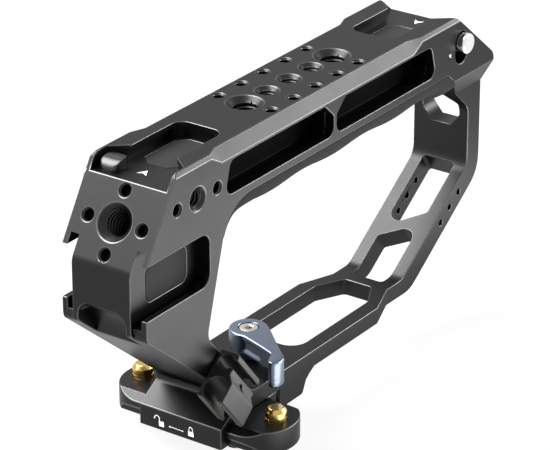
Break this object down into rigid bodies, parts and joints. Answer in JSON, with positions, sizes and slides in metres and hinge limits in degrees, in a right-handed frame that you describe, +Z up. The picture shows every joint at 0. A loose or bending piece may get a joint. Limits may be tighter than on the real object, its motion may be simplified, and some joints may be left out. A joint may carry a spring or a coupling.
{
  "type": "camera top handle",
  "caption": "Camera top handle with grip, cold shoes, threaded holes, cable clip and a lever clamp that slides and locks on an oblong quick release plate",
  "frame": {"origin": "Centre of the quick release plate's underside, midway between its two screws", "axes": "+X to the handle's right, +Y from the front face to the rear, +Z up"},
  "size_m": [0.0648, 0.1964, 0.1082],
  "materials": {
    "black_anodised": "bead blasted, black anodised",
    "grip_rubber": "fine textured",
    "insert_rubber": "matt",
    "dark_steel": "blackened",
    "bright_chrome": "polished",
    "spring_steel": "bright wire",
    "blue_grey_anodised": "satin, blue grey anodised",
    "stainless": "turned",
    "black_plastic": "moulded",
    "turned_brass": "turned, bright"
  },
  "bodies": {
    "plate": {"base_plate": "black_anodised", "plate_screws": "stainless", "stop_spring_left": "spring_steel", "stop_spring_right": "spring_steel", "stop_cap_left": "stainless", "stop_cap_right": "stainless"},
    "handle": {"handle_frame": "black_anodised", "grip_pad": "grip_rubber", "column_pad_left": "insert_rubber", "column_pad_right": "insert_rubber", "shoe_pad_front": "insert_rubber", "shoe_pad_rear": "insert_rubber", "lock_spring_front": "spring_steel", "lock_spring_rear": "spring_steel", "lever_washer": "black_plastic", "jaw_guide_pins": "stainless", "clamp_cover": "black_anodised", "cover_screws": "stainless", "cable_clip": "black_plastic", "clip_screw": "dark_steel"},
    "lever_body": {"lever": "blue_grey_anodised", "lever_screw": "stainless", "cam_shaft": "stainless"},
    "jaw_body": {"moving_jaw": "black_anodised"},
    "stop_left": {"stop_pin_left": "turned_brass"},
    "stop_right": {"stop_pin_right": "turned_brass"},
    "lock_front": {"lock_pin_front": "dark_steel", "lock_knob_front": "bright_chrome"},
    "lock_rear": {"lock_pin_rear": "dark_steel", "lock_knob_rear": "bright_chrome"}
  },
  "joints": [
    {"name": "handle_slide", "type": "slide", "parent": "plate", "child": "handle", "axis": [1, 0, 0], "range_m": [-0.0064, 0.0064]},
    {"name": "lever_swing", "type": "hinge", "parent": "handle", "child": "lever_body", "pos_m": [0, 0.0219, 0.0205], "axis": [0, 0, 1], "range_deg": [0, 100]},
    {"name": "jaw_slide", "type": "slide", "parent": "handle", "child": "jaw_body", "axis": [0, 1, 0], "range_m": [0, 0.0014]},
    {"name": "stop_left_press", "type": "slide", "parent": "plate", "child": "stop_left", "axis": [0, 0, -1], "range_m": [0, 0.0042], "stiffness_N_per_m": 400, "springref_m": -0.003, "deforming": ["stop_spring_left"]},
    {"name": "stop_right_press", "type": "slide", "parent": "plate", "child": "stop_right", "axis": [0, 0, -1], "range_m": [0, 0.0042], "stiffness_N_per_m": 400, "springref_m": -0.003, "deforming": ["stop_spring_right"]},
    {"name": "lock_front_press", "type": "slide", "parent": "handle", "child": "lock_front", "axis": [0, 0, -1], "range_m": [0, 0.0037], "stiffness_N_per_m": 400, "springref_m": -0.003, "deforming": ["lock_spring_front"]},
    {"name": "lock_rear_press", "type": "slide", "parent": "handle", "child": "lock_rear", "axis": [0, 0, -1], "range_m": [0, 0.0037], "stiffness_N_per_m": 400, "springref_m": -0.003, "deforming": ["lock_spring_rear"]}
  ],
  "couplings": [
    {"joint": "jaw_slide", "follows": "lever_swing", "m_per_rad": 0.00079}
  ]
}
